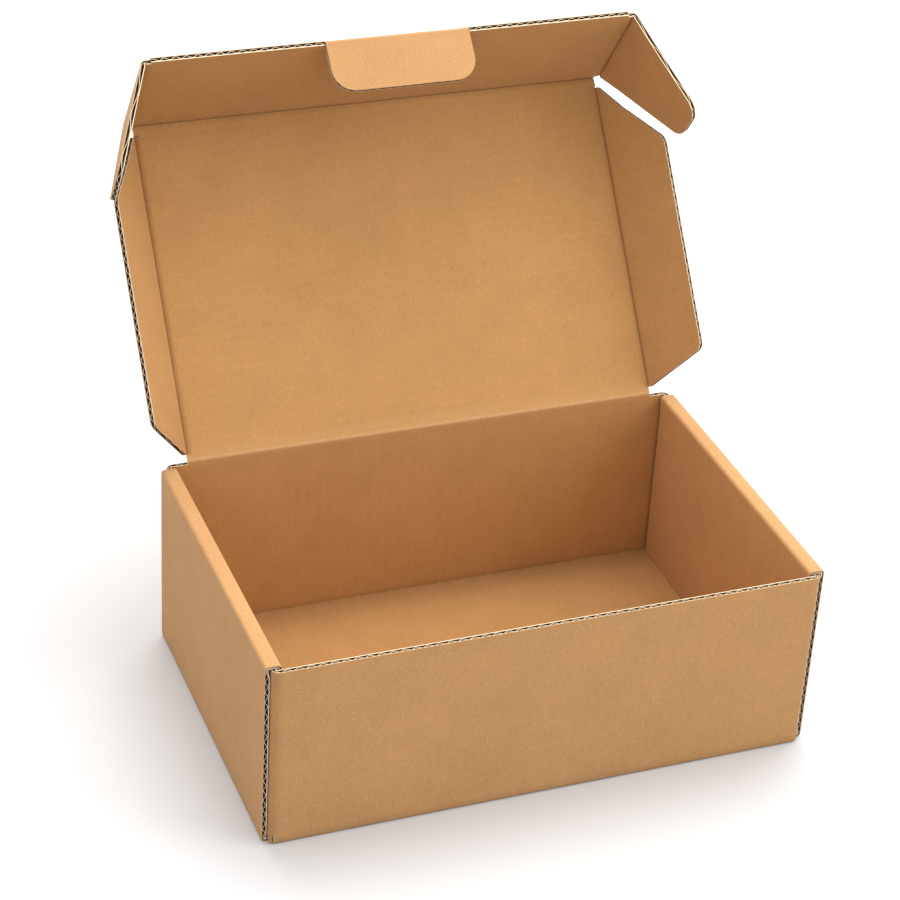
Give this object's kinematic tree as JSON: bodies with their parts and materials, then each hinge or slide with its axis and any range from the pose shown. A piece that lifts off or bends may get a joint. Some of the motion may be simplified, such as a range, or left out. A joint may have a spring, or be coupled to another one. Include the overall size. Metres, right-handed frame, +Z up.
{
  "type": "open corrugated cardboard mailer box",
  "caption": "Open roll-end tuck-front mailer box of corrugated board: double side walls, hinged lid with side flaps, tuck panel with ears and a thumb tab.",
  "frame": {"origin": "middle of the tray's underside, on the surface it stands on", "axes": "+X to the right along the hinge crease, +Y from the front wall to the back wall, +Z up"},
  "size_m": [0.3516, 0.3235, 0.3313],
  "materials": {
    "board": "natural brown kraft liner, matt, with fluted raw edges"
  },
  "bodies": {
    "tray": {"tray": "board"},
    "lid": {"lid_panel": "board"},
    "side_flap_left": {"lid_side_flap_left": "board"},
    "side_flap_right": {"lid_side_flap_right": "board"},
    "front_panel": {"lid_front_panel": "board"},
    "ear_left": {"ear_left": "board"},
    "ear_right": {"ear_right": "board"},
    "thumb_tab": {"thumb_tab": "board"}
  },
  "joints": [
    {"name": "lid_hinge", "type": "hinge", "parent": "tray", "child": "lid", "pos_m": [0, 0.10155, 0.11575], "axis": [1, 0, 0], "range_deg": [-53, 127]},
    {"name": "side_flap_left_crease", "type": "hinge", "parent": "lid", "child": "side_flap_left", "pos_m": [-0.14435, 0.10155, 0.11575], "axis": [0, 0.6018, 0.7986], "range_deg": [-25.38, 58.92]},
    {"name": "side_flap_right_crease", "type": "hinge", "parent": "lid", "child": "side_flap_right", "pos_m": [0.14435, 0.10155, 0.11575], "axis": [0, -0.6018, -0.7986], "range_deg": [-24.32, 56.38]},
    {"name": "front_panel_crease", "type": "hinge", "parent": "lid", "child": "front_panel", "pos_m": [0, 0.21902, 0.27164], "axis": [1, 0, 0], "range_deg": [-13.19, 29.71]},
    {"name": "ear_left_crease", "type": "hinge", "parent": "front_panel", "child": "ear_left", "pos_m": [-0.14765, 0.21902, 0.27164], "axis": [0, -0.5878, 0.809], "range_deg": [-11.34, 25.27]},
    {"name": "ear_right_crease", "type": "hinge", "parent": "front_panel", "child": "ear_right", "pos_m": [0.14765, 0.21902, 0.27164], "axis": [0, 0.5878, -0.809], "range_deg": [-12.93, 29.07]},
    {"name": "thumb_tab_crease", "type": "hinge", "parent": "front_panel", "child": "thumb_tab", "pos_m": [0, 0.1767, 0.32989], "axis": [1, 0, 0], "range_deg": [-100, 20]}
  ],
  "couplings": [
    {"joint": "side_flap_left_crease", "follows": "lid_hinge", "ratio": 0.46},
    {"joint": "side_flap_right_crease", "follows": "lid_hinge", "ratio": 0.44},
    {"joint": "front_panel_crease", "follows": "lid_hinge", "ratio": 0.23},
    {"joint": "ear_left_crease", "follows": "lid_hinge", "ratio": 0.195},
    {"joint": "ear_right_crease", "follows": "lid_hinge", "ratio": 0.225}
  ]
}
